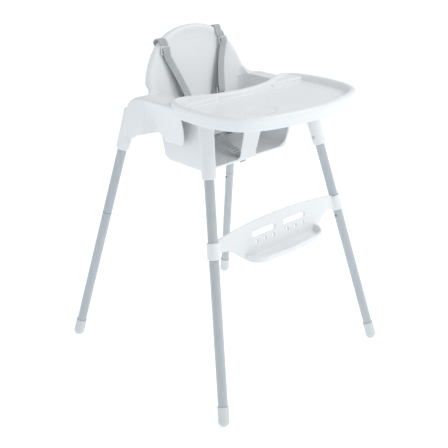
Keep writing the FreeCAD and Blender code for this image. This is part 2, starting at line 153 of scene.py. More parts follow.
def sheet(name, surface, countU, countV, thickness):
    # a grid laid on surface(u, v), u and v from 0 to 1, with a wall thickness given to it
    bm = bmesh.new()
    bmesh.ops.create_grid(bm, x_segments=countU, y_segments=countV, size=0.5)
    for vert in bm.verts:
        vert.co = surface(vert.co.x + 0.5, vert.co.y + 0.5) * mm
    bmesh.ops.remove_doubles(bm, verts=bm.verts, dist=0.02 * mm)
    bmesh.ops.recalc_face_normals(bm, faces=bm.faces)
    bmesh.ops.solidify(bm, geom=bm.faces[:], thickness=thickness * mm)
    bmesh.ops.recalc_face_normals(bm, faces=bm.faces)
    return finishPiece(bm, name)


def turned(piece, angle, pivot, axis="X"):
    pivot = Vector(pivot) * mm
    piece.data.transform(Matrix.Translation(pivot) @ Matrix.Rotation(angle, 4, axis) @ Matrix.Translation(-pivot))
    return piece


def mirrored(piece):
    # a copy of a piece on the other side of the chair
    bm = bmesh.new()
    bm.from_mesh(piece.data)
    bmesh.ops.scale(bm, vec=(-1, 1, 1), verts=bm.verts)
    bmesh.ops.reverse_faces(bm, faces=bm.faces)
    return finishPiece(bm, piece.name + ".other")


def joined(name, lumps):
    # several meshes as one object; the lumps themselves are removed
    bm = bmesh.new()
    for lump in lumps:
        bm.from_mesh(lump.data)
        bpy.data.objects.remove(lump)
    return finishPiece(bm, name)


def cut(lump, cutter):
    # takes a closed cutter out of a closed lump
    step = lump.modifiers.new("cut", "BOOLEAN")
    step.operation = "DIFFERENCE"
    step.solver = "EXACT"
    step.object = cutter
    return modified(lump)


def moulded(name, lumps, grain, softness, most=195000):
    # melts closed lumps into one moulding: a fine voxel remesh, then its edges softened
    piece = joined(name, lumps)
    melt = piece.modifiers.new("melt", "REMESH")
    melt.mode = "VOXEL"
    melt.voxel_size = grain * mm
    melt.use_smooth_shade = True
    modified(piece)
    for _ in range(softness):
        for factor in (0.55, -0.5):
            soften = piece.modifiers.new("soften", "SMOOTH")
            soften.factor = factor
            soften.iterations = 2
    relax = piece.modifiers.new("relax", "SMOOTH")
    relax.factor = 0.5
    relax.iterations = 2
    modified(piece)
    triangles = sum(len(p.vertices) - 2 for p in piece.data.polygons)
    if triangles > most:
        thin = piece.modifiers.new("thin", "DECIMATE")
        thin.ratio = most / triangles
        modified(piece)
    for face in piece.data.polygons:
        face.use_smooth = True
    print(name, "moulded:", triangles, "triangles, kept", sum(len(p.vertices) - 2 for p in piece.data.polygons))
    return piece


# legs: each leg's own frame has its origin on the floor, Z up the tube and X towards the chair's middle
legSettings = {
    "footX": 307.0, "footY": 314.0, "socketLow": 589.0,
    "sockets": {"front": (209.0, -160.0), "rear": (209.5, 181.0)},
    "socketRadii": (18.0, 20.0), "boreRadius": 12.7, "boreTop": 690.0, "rearSocketTop": 700.0,
}


def legFrame(side, end):
    x, y = legSettings["sockets"][end]
    floor = Vector((side * legSettings["footX"], math.copysign(legSettings["footY"], y), 0))
    up = (Vector((side * x, y, legSettings["socketLow"])) - floor).normalized()
    inward = Vector((-side, 0, 0))
    inward = (inward - up * inward.dot(up)).normalized()
    place = Matrix((inward, up.cross(inward), up)).transposed().to_4x4()
    place.translation = floor * mm
    return place, up.z


legFrames = {(end, side): legFrame(side, end) for end in ("front", "rear") for side in (1, -1)}


# seat: bucket, backrest, armrests, front frame and leg sockets, melted into one moulding
seatSettings = {
    "panLow": 571.0, "panTop": 575.0, "armrest": 752.0, "rail": 740.6,
    "bucketHalfLow": 156.0, "bucketHalfHigh": 172.0, "bucketRearLow": 78.0, "bucketRearHigh": 110.2,
    "wall": 4.0, "skinX": 222.0, "railX": 214.0, "stepY": -65.0, "railFront": -146.0,
    "frontLean": 13.0, "frontPivot": (0, -104, 650), "recline": 11.0, "backPivotY": 91.0, "backPivotZ": 722.0,
    "rimDepth": 19.0, "hollow": 10.0, "grain": 2.0, "softness": 3,
}


def frontY(z):
    pivot = seatSettings["frontPivot"]
    return pivot[1] - (z - pivot[2]) * math.tan(math.radians(seatSettings["frontLean"]))


def basin(name, inset, low, high, frontRadius, lowRadius, highRadius, floorRadius):
    # tapered tub: a rounded floor pushed up and spread, with the edge round its floor rolled
    s = seatSettings
    bm = bmesh.new()
    for z, radius in ((low, lowRadius), (high, highRadius)):
        t = (z - s["panLow"]) / (s["armrest"] - s["panLow"])
        half = s["bucketHalfLow"] + (s["bucketHalfHigh"] - s["bucketHalfLow"]) * t - inset
        rear = s["bucketRearLow"] + (s["bucketRearHigh"] - s["bucketRearLow"]) * t - inset
        front = frontY(z) + inset
        verts = [bm.verts.new(Vector(p) * mm) for p in
                 ((-half, front, z), (half, front, z), (half, rear, z), (-half, rear, z))]
        bm.faces.new(verts)
        for vert, r in zip(verts, (frontRadius, frontRadius, radius, radius)):
            bmesh.ops.bevel(bm, geom=[vert], offset=r * mm, offset_type="OFFSET", segments=8, profile=0.5,
                            affect="VERTICES", material=-1)
    bmesh.ops.bridge_loops(bm, edges=bm.edges[:])
    bmesh.ops.recalc_face_normals(bm, faces=bm.faces)
    rim = [e for e in bm.edges if all(abs(v.co.z - low * mm) < 1e-6 for v in e.verts)]
    bmesh.ops.bevel(bm, geom=rim, offset=floorRadius * mm, offset_type="OFFSET", segments=6, profile=0.5,
                    affect="EDGES", clamp_overlap=True, material=-1)
    return finishPiece(bm, name)


def onBack(x, depth, rise):
    # a point of the backrest before it is reclined, in mm: depth behind its edges, rise its height
    s = seatSettings
    lean = math.radians(s["recline"])
    up = rise - s["backPivotZ"]
    return Vector((x, s["backPivotY"] + depth * math.cos(lean) + up * math.sin(lean),
                   s["backPivotZ"] - depth * math.sin(lean) + up * math.cos(lean)))


def backOutline(turn):
    # half outline of the backrest, from the middle of its foot (0) to the middle of its top (1)
    stops = [(0.00, 0.0, 574.0), (0.12, 146.0, 574.0), (0.15, 152.0, 582.0), (0.24, 160.0, 660.0),
             (0.32, 167.5, 725.0), (0.36, 186.0, 738.0), (0.39, 205.0, 746.0), (0.42, 193.0, 751.5),
             (0.45, 184.0, 757.0), (0.48, 178.5, 764.0), (0.51, 175.0, 774.0), (0.55, 170.5, 788.0),
             (0.60, 163.5, 805.0), (0.66, 153.0, 825.0), (0.72, 139.0, 846.0), (0.78, 120.5, 867.0),
             (0.84, 97.0, 885.0), (0.88, 77.0, 895.0), (0.92, 54.0, 902.5), (0.96, 28.0, 907.0), (1.00, 0.0, 908.5)]
    return along([(t, x) for t, x, _ in stops], turn), along([(t, z) for t, _, z in stops], turn)


def backSurface(u, v):
    # u runs once round the outline, v from its middle out and over the rolled rim
    s = seatSettings
    turn = 1 - abs(2 * u - 1)
    rimX, rimZ = backOutline(turn)
    rimX *= -1 if u < 0.5 else 1
    raised = smoothstep(742, 772, rimZ)
    reach = along([(0.0, 0.0), (0.60, 0.86), (0.66, 0.905), (0.70, 0.935), (0.74, 0.957), (0.78, 0.974),
                   (0.82, 0.988), (0.86, 0.9965), (0.90, 1.0), (1.0, 1.0)], v)
    behind = along([(0.0, 0.0), (0.66, 0.0), (0.70, 0.5), (0.74, 1.6), (0.78, 3.4), (0.82, 6.0), (0.86, 9.0),
                    (0.90, 12.0), (1.0, s["rimDepth"])], v)
    x, z = rimX * reach, 730 + (rimZ - 730) * reach
    hollow = s["hollow"] * (1 - min(1.0, abs(x) / 168.0) ** 2.2)
    crest = smoothstep(0.50, 0.80, v) * smoothstep(800, 880, rimZ)
    bend = min(abs(x), 165.0) - 122.0
    wrap = (46.0 - math.sqrt(46.0 ** 2 - bend ** 2)) * (1 - smoothstep(742, 800, z)) if bend > 0 else 0.0
    return onBack(x, min(hollow * (1 - crest), s["hollow"] + 0.5 - wrap) + behind * raised, z)


def sideSurface(u, v):
    # u runs from the armrest's front step to its back, v from the inner edge over and down the hanging skin
    s = seatSettings
    y = along([(0.0, s["stepY"]), (0.3, -33.0), (0.8, 110.0), (1.0, 160.0)], u)
    top = s["armrest"] - 0.8 - along([(74, 0), (92, 2.0), (108, 6.5), (122, 14.0), (134, 26.0), (144, 44.0),
                                      (152, 66.0), (160, 100.0)], y)
    wing = smoothstep(60, 74, y)
    outer = s["skinX"]
    inner = along([(86, 166.0), (112, 118.0)], y)
    if v < 0.3:
        return Vector((inner + (outer - 7 - inner) * v / 0.3, y, top))
    if v < 0.42:
        a = (v - 0.3) / 0.12 * math.pi / 2
        return Vector((outer - 7 + 7 * math.sin(a), y, top - 7 + 7 * math.cos(a)))
    footZ = along([(-33, 636.0), (0, 605.0), (20, 590.0)], y)
    edgeZ = along([(-65, 738.0), (-64, 720.0), (-58, 690.0), (-47, 660.0), (-33, 636.0)], y)
    footX = 162.0 * (1 - wing) + (outer + 5.0) * wing
    archZ = along([(32, 560.0), (38, 650.0), (52, 657.0), (74, 653.0), (96, 647.0), (118, 632.0), (140, 612.0),
                   (152, 600.0), (160, 594.0)], y)
    lowZ = max(edgeZ, footZ, archZ)
    z = top - 7 + (lowZ - top + 7) * (v - 0.42) / 0.58
    lean = max(0.0, (top - 7 - z) / max(1.0, top - 7 - 588.0))
    return Vector((outer + (footX - outer) * lean, y, z))


def webSurface(u, v):
    # ruled web from the front frame's outer strip (u 0) to the axis of the front socket (u 1), arched below
    s = seatSettings
    low = along([(0.0, 668.0), (0.3, 664.0), (0.6, 652.0), (0.85, 628.0), (1.0, 600.0)], u)
    z = 737 + (low - 737) * v
    foot, top = legSettings["sockets"]["front"], (legSettings["footX"], -legSettings["footY"])
    t = z / legSettings["socketLow"]
    x, y = top[0] + (foot[0] - top[0]) * t, top[1] + (foot[1] - top[1]) * t
    return Vector((148 + (x - 148) * u, frontY(z) + 4 + (y - frontY(z) - 4) * u, z))


def buildSeat():
    s = seatSettings
    lean = math.radians(s["frontLean"])
    tub = basin("tub", 0, s["panLow"], s["armrest"], 12, 34, 50, 14)
    cavity = basin("cavity", s["wall"], s["panTop"], s["armrest"] + 9, 8, 30, 46, 12)

    y = s["frontPivot"][1] - 4
    frontPlate = plate("front", [((-164, y, 740), 4), ((164, y, 740), 4), ((164, y, 557), 36), ((24, y, 557), 12),
                                 ((15, y, 576), 13), ((-15, y, 576), 13), ((-24, y, 557), 12), ((-164, y, 557), 36)],
                       (0, 15, 0), rounding=5.5, segments=4)
    turned(frontPlate, lean, s["frontPivot"])
    legHoles = []
    for side in (1, -1):
        hole = plate("legHole", [((side * 29, -190, 581), 9), ((side * 146, -190, 581), 28),
                                 ((side * 146, -190, 702), 24), ((side * 35, -190, 702), 12)], (0, 130, 0))
        legHoles.append(turned(hole, lean, s["frontPivot"]))

    back = sheet("back", backSurface, 240, 60, s["wall"])
    side = sheet("side", sideSurface, 150, 60, s["wall"])
    cheek = plate("cheek", [((116.5, 108, 655), 0), ((116.5, 151, 655), 0), ((116.5, 149, 690), 0),
                            ((116.5, 142, 711), 14), ((116.5, 124, 738), 14), ((116.5, 108, 747), 0)], (4, 0, 0))
    web = sheet("web", webSurface, 30, 50, s["wall"])
    rail = block("rail", (164, s["railFront"], s["rail"] - 4), (s["railX"], s["stepY"] + 3, s["rail"]), 1.6)
    railLip = block("railLip", (s["railX"] - 4, s["railFront"], s["rail"] - 11),
                    (s["railX"], s["stepY"] + 3, s["rail"] - 1), 1.6)
    frontStep = block("frontStep", (170, s["stepY"], s["rail"] - 6),
                      (s["skinX"] - 3, s["stepY"] + 4, s["armrest"] - 1), 1.4)
    halves = [side, cheek, web, rail, railLip, frontStep]
    bores = []
    for end in ("front", "rear"):
        place, rise = legFrames[end, 1]
        top = s["rail"] - 1 if end == "front" else legSettings["rearSocketTop"]
        halves.append(roundBar("socket", *legSettings["socketRadii"], socketFoot(rise), top / rise, place,
                               rounding=1.6 if end == "front" else 5.0))
        bores.append(roundBar("bore", legSettings["boreRadius"], legSettings["boreRadius"],
                              socketFoot(rise) - 30, legSettings["boreTop"] / rise, place))
    for lump in halves:
        if not lump.name.startswith(("cheek", "side")):
            for bore in bores:
                cut(lump, bore)
    clear = block("clear", (-240, -220, s["rail"]), (240, s["stepY"], 790))
    behindTub = block("behindTub", (-200, 80, 704), (200, 140, 790))
    for lump in (frontPlate, tub):
        for cutter in legHoles + [cavity, clear, behindTub]:
            cut(lump, cutter)
    lumps = [tub, frontPlate, back] + halves + [mirrored(lump) for lump in halves]
    for cutter in legHoles + bores + [cavity, clear, behindTub]:
        bpy.data.objects.remove(cutter)
    return moulded("seat_moulding", lumps, s["grain"], s["softness"])


def socketFoot(rise):
    return legSettings["socketLow"] / rise


seat = buildSeat()
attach(seat, "chair")
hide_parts("seat_shell")
print("seat built")


# tray: a bowed platter with a rolled rim, a cup mark and hooked runners below
traySettings = {
    "low": 732.0, "floor": 745.0, "wall": 3.6,
    "outline": [(0, -76), (60, -70), (110, -57), (150, -36), (182, -25), (208, -27), (226, -48), (237, -86),
                (242, -130), (241, -180), (233, -224), (217, -260), (190, -284), (148, -301), (96, -311.5),
                (48, -319), (0, -321.8)],
    "steps": [(0.0, 26.0), (1.5, 3.6), (5.0, 1.0), (3.5, -1.0), (1.6, -4.2), (1.6, -6.4), (2.6, -4.2), (4.0, -1.6),
              (6.0, -0.2)],
    "cup": (-77.0, -208.0), "cupRadius": 37.0, "cupDepth": 2.4,
    "runner": {"in": 209.5, "mid": 216.5, "out": 221.0, "front": -236.0, "rear": -74.0, "low": 729.0},
    "grain": 1.5, "softness": 4,
}


def buildTray():
    s = traySettings
    half = s["outline"]
    ring = half + [(-x, y) for x, y in half[-2:0:-1]]
    bm = bmesh.new()
    verts = [bm.verts.new(Vector((x, y, s["low"])) * mm) for x, y in ring]
    face = bm.faces.new(verts)
    if face.normal.z < 0:
        face.normal_flip()
    for inset, lift in s["steps"]:
        if inset:
            bmesh.ops.inset_region(bm, faces=[face], thickness=inset * mm, use_even_offset=True)
            bmesh.ops.translate(bm, vec=upward * lift * mm, verts=face.verts[:])
        else:
            raised = bmesh.ops.extrude_face_region(bm, geom=[face])["geom"]
            bmesh.ops.translate(bm, vec=upward * lift * mm,
                                verts=[g for g in raised if isinstance(g, bmesh.types.BMVert)])
            face = [g for g in raised if isinstance(g, bmesh.types.BMFace)][0]
    under = [f for f in bm.faces if all(abs(v.co.z - s["low"] * mm) < 1e-6 for v in f.verts)]
    bmesh.ops.delete(bm, geom=under, context="FACES_ONLY")
    platter = finishPiece(bm, "platter")
    rounder = platter.modifiers.new("round", "SUBSURF")
    rounder.levels = rounder.render_levels = 2
    wall = platter.modifiers.new("wall", "SOLIDIFY")
    wall.thickness = s["wall"] * mm
    wall.offset = -1
    modified(platter)
    rests = block("rests", (150, -66, s["low"] - 20), (260, 20, 752.8))
    way = block("way", (-217, -152, s["low"] - 20), (217, 20, s["floor"] - 7))
    cut(platter, rests)
    other = mirrored(rests)
    cut(platter, other)
    cut(platter, way)
    r = s["runner"]
    web = block("runnerWeb", (r["mid"], r["front"], r["low"]), (r["out"], r["rear"], 743), 1.0)
    lip = block("runnerLip", (r["in"], r["front"], r["low"]), (r["mid"] + 2, r["rear"], r["low"] + 4), 1.0)
    wing = plate("wing", [((96, -74, 753), 0), ((112, -60, 753), 8), ((150, -39, 753), 12), ((182, -28, 753), 10),
                          ((206, -30, 753), 14), ((223, -50, 753), 14), ((230, -76, 753), 0)],
                 (0, 0, 7.4), rounding=2.0)
    shoulder = block("shoulder", (100, -80, 743), (229, -67, 758), 2.0)
    lumps = [platter, web, lip, wing, shoulder] + [mirrored(lump) for lump in (web, lip, wing, shoulder)]
    for cutter in (rests, other, way):
        bpy.data.objects.remove(cutter)
    tray = moulded("tray_moulding", lumps, s["grain"], s["softness"])
    cup = Vector(s["cup"]) * mm
    for vert in tray.data.vertices:
        away = (Vector(vert.co.xy) - cup).length
        if away < 60 * mm and vert.co.z > 738 * mm:
            vert.co.z -= s["cupDepth"] * mm * (1 - smoothstep(-2.4, 2.4, away / mm - s["cupRadius"]))
    return tray


tray = buildTray()
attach(tray, "tray")
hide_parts("tray")
print("tray built")


# footrest: a bar between the front legs with two slots, a scooped step and a collar on each leg
footSettings = {
    "collarLow": 400.5, "collarHigh": 442.0, "collarRadius": 16.5,
    "slots": (24.0, 94.0, 416.0, 431.0), "notches": (27.5, 59.0, 90.0), "grain": 1.7, "softness": 2,
}


def buildFootrest():
    s = footSettings
    tilt = math.atan2(314 - 160, 589)
    y = -314 + 154 * 430 / 589 - 3.5
    bar = plate("bar", [((-236, y, 443), 0), ((-120, y, 456), 50), ((0, y, 461), 50), ((120, y, 456), 50),
                        ((236, y, 443), 0), ((240, y, 411), 0), ((206, y, 411), 24), ((172, y, 400), 24),
                        ((148, y, 372), 18), ((120, y, 366), 0), ((-120, y, 366), 0), ((-148, y, 372), 18),
                        ((-172, y, 400), 24), ((-206, y, 411), 24), ((-240, y, 411), 0)], (0, 7, 0), rounding=2.4)
    cutters = []
    for side in (1, -1):
        x0, x1, z0, z1 = s["slots"]
        cutters.append(plate("slot", [((side * (x0 - 7.5), y - 20, z0), 7), ((side * (x1 + 7.5), y - 20, z0), 7),
                                      ((side * (x1 + 7.5), y - 20, z1), 7), ((side * (x0 - 7.5), y - 20, z1), 7)],
                             (0, 50, 0)))
        for x in s["notches"]:
            cutters.append(plate("notch", [((side * x - 4, y - 20, 397), 3.9), ((side * x + 4, y - 20, 397), 3.9),
                                           ((side * x + 4, y - 20, 407), 3.9), ((side * x - 4, y - 20, 407), 3.9)],
                                 (0, 50, 0)))
    for cutter in cutters:
        cut(bar, cutter)
        bpy.data.objects.remove(cutter)
    turned(bar, -tilt, (0, -314 + 154 * 430 / 589, 430))

    def shelfFace(name, z, inset, lift, rounding):
        half, front, back = 137 - inset, -264 + inset, -204
        return plate(name, [((half, back, z), 0), ((half, front + 4, z), 36 - inset), ((0, front - 2, z), 0),
                            ((-half, front + 4, z), 36 - inset), ((-half, back, z), 0)], (0, 0, lift), rounding)

    step = shelfFace("step", 366, 0, 23, 5.0)
    scoop = shelfFace("scoop", 372, 6.5, 60, 4.0)
    slope = plate("slope", [((-150, -262, 381), 0), ((-150, -206, 398), 0), ((-150, -190, 430), 0),
                            ((-150, -300, 430), 0), ((-150, -300, 381), 0)], (300, 0, 0))
    cut(step, scoop)
    cut(step, slope)
    lumps = [bar, step]
    for side in (1, -1):
        place, rise = legFrames["front", side]
        collar = roundBar("collar", s["collarRadius"], s["collarRadius"], s["collarLow"] / rise,
                          s["collarHigh"] / rise, place, rounding=1.8)
        lumps.append(collar)
    for side in (1, -1):
        place, rise = legFrames["front", side]
        bore = roundBar("bore", 12.6, 12.6, 300, 560, place)
        for lump in lumps:
            cut(lump, bore)
        bpy.data.objects.remove(bore)
    for cutter in (scoop, slope):
        bpy.data.objects.remove(cutter)
    return moulded("footrest_moulding", lumps, s["grain"], s["softness"])


footrest = buildFootrest()
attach(footrest, "chair")
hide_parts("footrest")
print("footrest built")


# harness: woven straps with folded ends, loop sliders and sewn connectors
harnessSettings = {
    "width": 22.0, "thickness": 1.5, "sliderSize": (31.0, 23.0), "sliderDeep": 2.6, "sliderBar": 3.0,
    "buckle": ((0, 46, 628), 35.0), "slider": (104.0, 850.0),
}


def inBuckle(x, y, z):
    (px, py, pz), angle = harnessSettings["buckle"]
    c, s = math.cos(math.radians(angle)), math.sin(math.radians(angle))
    return Vector((px + x, py + y * c - z * s, pz + y * s + z * c))


def eased(points, spacing=2.5):
    # an even row of points on a smooth line through the given ones
    ends = [points[0] * 2 - points[1]] + points + [points[-1] * 2 - points[-2]]
    fine = []
    for a, b, c, d in zip(ends, ends[1:], ends[2:], ends[3:]):
        for i in range(24):
            t = i / 24
            fine.append(0.5 * (2 * b + (c - a) * t + (2 * a - 5 * b + 4 * c - d) * t ** 2
                               + (3 * b - a - 3 * c + d) * t ** 3))
    fine.append(points[-1])
    row, walked = [fine[0]], 0.0
    for p, q in zip(fine, fine[1:]):
        walked += (q - p).length
        if walked >= spacing:
            row.append(q)
            walked = 0.0
    row[-1] = fine[-1]
    return row


def strap(name, points, acrossStart=across, acrossEnd=across, width=None):
    # a flat webbing along the points; its UV map is in metres, along and across
    s = harnessSettings
    width = width or s["width"]
    row = eased([Vector(p) for p in points])
    bm = bmesh.new()
    uvs = bm.loops.layers.uv.new("weave")
    strips, walked, place = [], 0.0, {}
    for i, p in enumerate(row):
        t = i / (len(row) - 1)
        forward = (row[min(i + 1, len(row) - 1)] - row[max(i - 1, 0)]).normalized()
        flat = Vector(acrossStart).lerp(Vector(acrossEnd), smoothstep(0, 1, t))
        flat = (flat - forward * flat.dot(forward)).normalized()
        walked += (p - row[max(i - 1, 0)]).length
        strip = []
        for j in range(7):
            w = (j / 6 - 0.5) * width
            vert = bm.verts.new((p + flat * w) * mm)
            place[vert] = (walked * mm, w * mm)
            strip.append(vert)
        strips.append(strip)
    for low, high in zip(strips, strips[1:]):
        for j in range(6):
            face = bm.faces.new((low[j], low[j + 1], high[j + 1], high[j]))
            for loop in face.loops:
                loop[uvs].uv = place[loop.vert]
    piece = finishPiece(bm, name)
    wall = piece.modifiers.new("wall", "SOLIDIFY")
    wall.thickness = s["thickness"] * mm
    wall.offset = 0
    edge = piece.modifiers.new("edge", "BEVEL")
    edge.width = 0.45 * mm
    edge.segments = 2
    edge.limit_method = "ANGLE"
    return modified(piece)


def loopSlider(name, centre, forward, flat, size=None, bars=1):
    # a moulded frame with its middle bars, lying along forward; its corners and edges are rounded
    s = harnessSettings
    wide, high = size or s["sliderSize"]
    deep, bar = s["sliderDeep"], s["sliderBar"]
    forward = forward.normalized()
    flat = (flat - forward * flat.dot(forward)).normalized()
    ring = plate(name, [((-wide / 2, -high / 2, 0), 3.5), ((wide / 2, -high / 2, 0), 3.5),
                        ((wide / 2, high / 2, 0), 3.5), ((-wide / 2, high / 2, 0), 3.5)], (0, 0, deep), 0.8)
    gap = (high - bar * (bars + 2)) / (bars + 1)
    for i in range(bars + 1):
        low = -high / 2 + bar + i * (gap + bar)
        window = plate("window", [((-wide / 2 + bar, low, -4), 1.2), ((wide / 2 - bar, low, -4), 1.2),
                                  ((wide / 2 - bar, low + gap, -4), 1.2), ((-wide / 2 + bar, low + gap, -4), 1.2)],
                       (0, 0, 14))
        cut(ring, window)
        bpy.data.objects.remove(window)
    normal = flat.cross(forward)
    place = Matrix((flat, forward, normal)).transposed().to_4x4()
    place.translation = (centre - normal * deep / 2) * mm
    ring.data.transform(place)
    return ring


def dress(piece, cadNode):
    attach(piece, "chair")
    if cadNode:
        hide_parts(cadNode)
    return piece


straps, sliders = [], []
for side, sideName in ((1, "left"), (-1, "right")):
    def back(x, depth, rise):
        return onBack(side * x, depth, rise)

    slideX, slideUp = harnessSettings["slider"]
    rimX, lift = (109.0, -6.0) if side < 0 else (93.0, 6.0)
    toBuckle = inBuckle(side * 31, 24, 2.0)
    rear = strap("strap_long_" + sideName,
                 [back(96, 27.5, 800), back(96, 27.5, 850), back(rimX - 2, 27.0, 874),
                  back(rimX - 1, 22, 885.5 + lift), back(rimX, 12, 889.0 + lift),
                  back(rimX, 3.5, 885.5 + lift), back(rimX, 0.4, 877), back(102.5, 1.0, 864),
                  back(103.8, 2.2, 851), back(96, 2.4, 830), back(78, 3.0, 780), back(64, 3.6, 742),
                  back(56.5, 3.4, 716), back(49, 1.0, 692), toBuckle, inBuckle(side * 31, 15, 2.3),
                  inBuckle(side * 31, 8, 2.1)])
    front = strap("strap_short_" + sideName,
                  [back(104.6, 1.0, 862), back(104.6, -3.4, 857), back(104.0, -4.6, 850), back(102.6, -3.8, 843),
                   back(99.5, -1.4, 832), back(88, -3.0, 805), back(76, -8.0, 772), back(66, -14.5, 738),
                   back(63.0, -17.0, 724), back(62.2, -15.5, 716), back(62.4, -11.0, 712.5), back(63.0, -7.0, 715.5),
                   back(64.0, -5.4, 722), back(66.0, -4.8, 732)])
    straps += [dress(rear, "strap_shoulder_" + sideName), dress(front, None)]
    sliderRun = back(102, 3.4, 862) - back(slideX, 3.4, slideUp)
    loop = loopSlider("slider_" + sideName, back(slideX, -1.4, slideUp), sliderRun, across)
    joint = loopSlider("connector_" + sideName, back(62.6, -10.5, 718.5),
                       back(66, -9, 735) - back(62.6, -10.5, 718.5), across, (28.0, 15.0), 0)
    sliders += [dress(loop, "slider_shoulder_" + sideName), dress(joint, None)]
    upBuckle = inBuckle(0, 1, 0) - inBuckle(0, 0, 0)
    lap = strap("strap_lap_" + sideName,
                [(side * 80, 90, 592), (side * 80, 78, 592), (side * 79.4, 68, 593.6), (side * 75, 56, 603),
                 tuple(inBuckle(side * 54, 0, -2.4)), tuple(inBuckle(side * 45, 0, -2.6)),
                 tuple(inBuckle(side * 38.5, 0, -2.5)), tuple(inBuckle(side * 36.0, 0, 0)),
                 tuple(inBuckle(side * 38.5, 0, 2.5)), tuple(inBuckle(side * 45, 0, 2.4)),
                 tuple(inBuckle(side * 52, 0, 0.4))], across, -side * upBuckle, 18.0)
    straps.append(dress(lap, "strap_lap_" + sideName))

crotch = strap("strap_between_legs",
               [(0, -69, 563), (0, -69, 573), (0, -67.5, 579.0), (0, -60, 582.0), (0, -50, 584.5), (0, -30, 592),
                (0, -6, 602.5), tuple(inBuckle(0, -27, 0.3)), tuple(inBuckle(0, -20.8, 0.1))])
straps.append(dress(crotch, "strap_crotch"))
loop = loopSlider("slider_low", Vector((0, -38.5, 589.6)), Vector((0, 20, 8.6)), across)
sliders.append(dress(loop, "slider_crotch"))
print("harness built")


# finishes

class Wire:
    # a shader value that can be used in sums
    def __init__(self, paint, socket):
        self.paint, self.socket = paint, socket

    def maths(self, operation, first, second):
        return self.paint.node("ShaderNodeMath", {"operation": operation}, {0: first, 1: second})

    def __add__(self, other):
        return self.maths("ADD", self, other)

    def __sub__(self, other):
        return self.maths("SUBTRACT", self, other)

    def __rsub__(self, other):
        return self.maths("SUBTRACT", other, self)

    def __mul__(self, other):
        return self.maths("MULTIPLY", self, other)

    __radd__ = __add__
    __rmul__ = __mul__


class Paint:
    # one material: its nodes, and the constants of its shader
    def __init__(self, name, **constants):
        self.material = bpy.data.materials.new(name)
        self.material.use_nodes = True
        self.tree = self.material.node_tree
        self.shader = self.tree.nodes["Principled BSDF"]
        for socket, value in constants.items():
            self.shader.inputs[socket.replace("_", " ")].default_value = value

    def node(self, kind, settings=None, sockets=None, output=0):
        made = self.tree.nodes.new(kind)
        for setting, value in (settings or {}).items():
            if setting == "stops":
                for stop, (place, colour) in zip(made.color_ramp.elements, value):
                    stop.position, stop.color = place, colour
            else:
                setattr(made, setting, value)
        for socket, value in (sockets or {}).items():
            if isinstance(value, Wire):
                self.tree.links.new(value.socket, made.inputs[socket])
            else:
                made.inputs[socket].default_value = value
        return Wire(self, made.outputs[output])

    def feed(self, socket, wire):
        self.tree.links.new(wire.socket, self.shader.inputs[socket])

    def places(self, scale=(1, 1, 1)):
        spot = self.node("ShaderNodeTexCoord", output="Object")
        return self.node("ShaderNodeMapping", {}, {"Vector": spot, "Scale": scale})

    def noise(self, spot, scale, detail=3.0, roughness=0.5):
        return self.node("ShaderNodeTexNoise", {}, {"Vector": spot, "Scale": scale, "Detail": detail,
                                                    "Roughness": roughness})

    def span(self, value, low, high, outLow, outHigh):
        return self.node("ShaderNodeMapRange", {}, {"Value": value, 1: low, 2: high, 3: outLow, 4: outHigh})

    def mix(self, share, first, second):
        return self.node("ShaderNodeMix", {"data_type": "RGBA"}, {0: share, 6: first, 7: second}, 2)

    def bump(self, height, strength, distance):
        self.feed("Normal", self.node("ShaderNodeBump", {}, {"Height": height, "Strength": strength,
                                                             "Distance": distance}))


def mouldedPlastic(name, light, dark, low, high, grain, scuffs=0.35, coat=0.0):
    # moulded plastic: faint cloudiness, a fine moulded grain, and thin rubbed marks
    paint = Paint(name, IOR=1.47, Specular_IOR_Level=0.45, Coat_Roughness=0.12)
    spot = paint.places()
    cloud = paint.noise(spot, 9.0, 4.0)
    fine = paint.noise(spot, 900.0, 2.0)
    ripple = paint.noise(spot, 55.0, 2.0)
    rub = paint.span(paint.noise(paint.places((1, 1, 0.12)), 340.0, 3.0, 0.7), 0.60, 0.72, 0.0, 1.0)
    worn = paint.span(paint.noise(spot, 14.0, 2.0), 0.46, 0.66, 0.0, 1.0) * rub * scuffs
    paint.feed("Base Color", paint.mix(paint.span(cloud, 0.35, 0.68, 0.0, 1.0) + worn * 0.35, light, dark))
    paint.feed("Roughness", paint.span(cloud, 0.3, 0.7, low, high) + worn * 0.16)
    if coat:
        paint.feed("Coat Weight", coat - worn * coat)
    paint.bump(fine * 0.5 + ripple * 0.22 - worn * 0.3, grain, 0.0003)
    return paint.material


def powderPaint(name, light, dark):
    # stoved paint on tube: orange peel, long soft streaks down the tube, small rubbed spots
    paint = Paint(name, IOR=1.5, Coat_Roughness=0.2)
    spot = paint.places()
    streak = paint.noise(paint.places((1, 1, 0.05)), 120.0, 3.0)
    peel = paint.node("ShaderNodeTexVoronoi", {"feature": "SMOOTH_F1"}, {"Vector": spot, "Scale": 620.0}, "Distance")
    rub = paint.span(paint.noise(spot, 70.0, 5.0, 0.65), 0.62, 0.74, 0.0, 1.0)
    paint.feed("Base Color", paint.mix(paint.span(streak, 0.3, 0.7, 0.0, 0.8) + rub * 0.2, light, dark))
    paint.feed("Roughness", paint.span(streak, 0.3, 0.7, 0.30, 0.40) + rub * 0.12)
    paint.feed("Coat Weight", 0.35 - rub * 0.25)
    paint.bump(peel * 0.6 + streak * 0.1, 0.22, 0.0003)
    return paint.material


